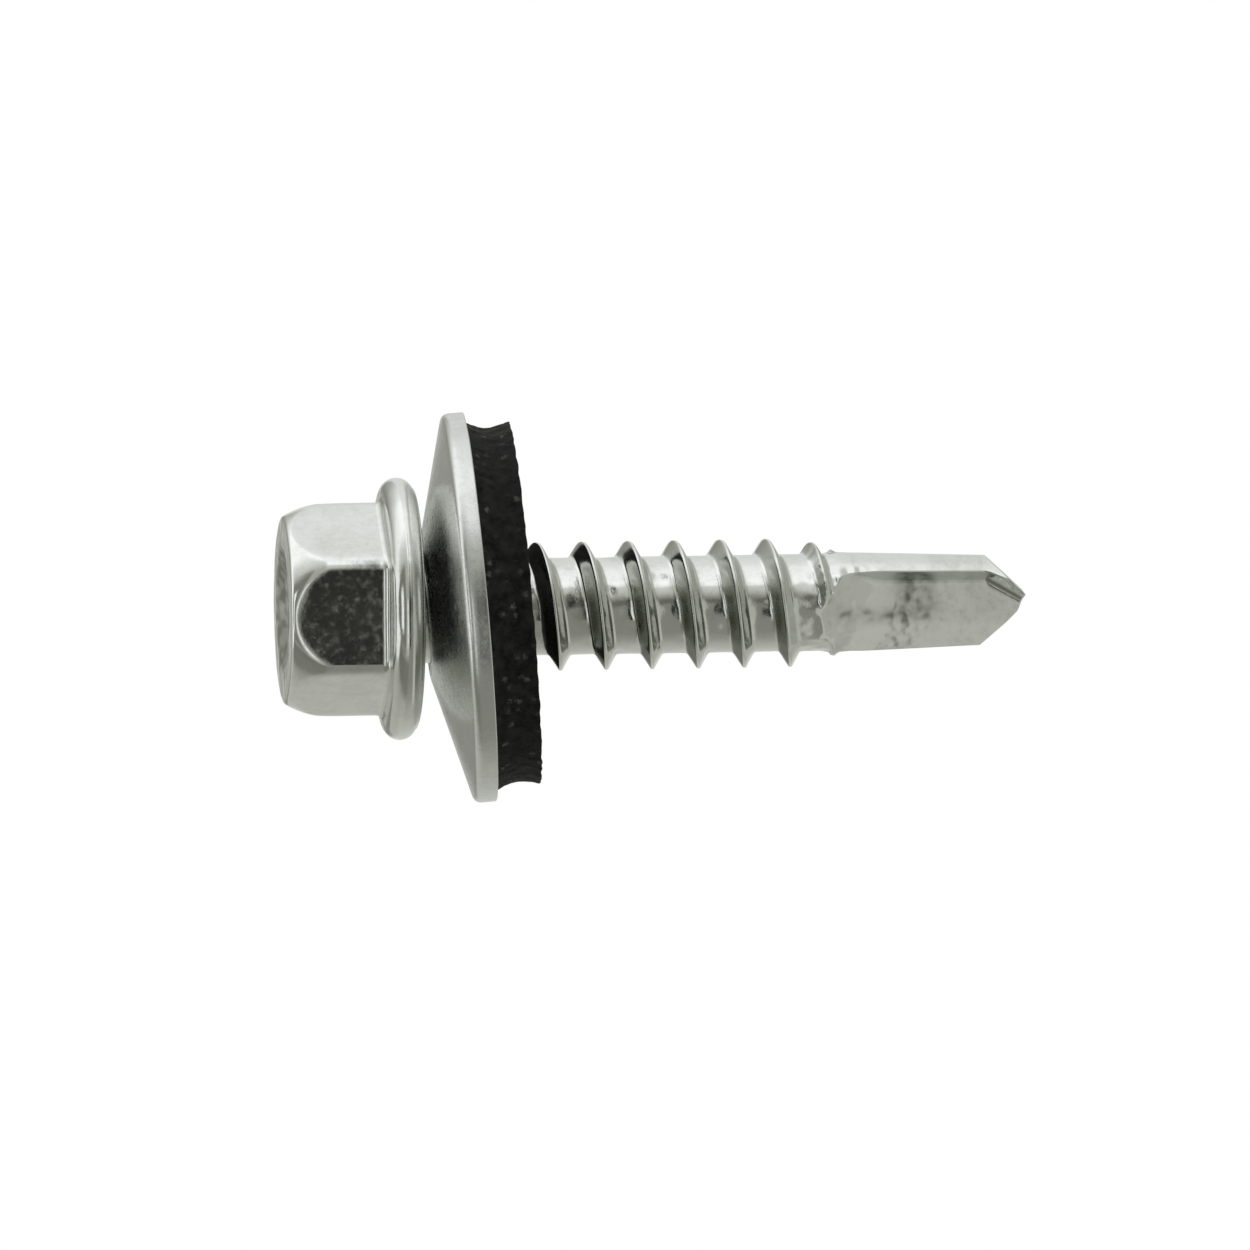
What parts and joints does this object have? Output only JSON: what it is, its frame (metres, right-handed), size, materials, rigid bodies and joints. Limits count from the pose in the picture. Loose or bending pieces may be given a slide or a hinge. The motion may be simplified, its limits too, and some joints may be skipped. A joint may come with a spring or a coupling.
{
  "type": "self drilling screw",
  "caption": "Hex washer head self drilling screw with a rolled thread, a fluted drill point and a captive dished steel washer with a bonded rubber seal.",
  "frame": {"origin": "centre of the head's end face, on the screw's axis; the screw stands on its head", "axes": "+Z runs along the screw's axis from the head's end face to the tip of the drill point; +X is the side that the wide view shows as its lower side, and -Y the side that it shows to the front"},
  "size_m": [0.016, 0.016, 0.0306],
  "materials": {
    "screw_steel": "bright zinc plate over forged and rolled steel, glossy with fine dents and a mottled film",
    "washer_steel": "satin zinc plated sheet, faintly mottled",
    "seal_rubber": "matt black moulded rubber with a fine grain and pale dust specks"
  },
  "bodies": {
    "screw": {"screw": "screw_steel"},
    "washer": {"steel_washer": "washer_steel", "rubber_seal": "seal_rubber"}
  },
  "joints": [
    {"name": "washer_spin", "type": "hinge", "parent": "screw", "child": "washer", "pos_m": [0, 0, 0.00758], "axis": [-0.0706, -0.0557, 0.9959], "continuous": true}
  ]
}
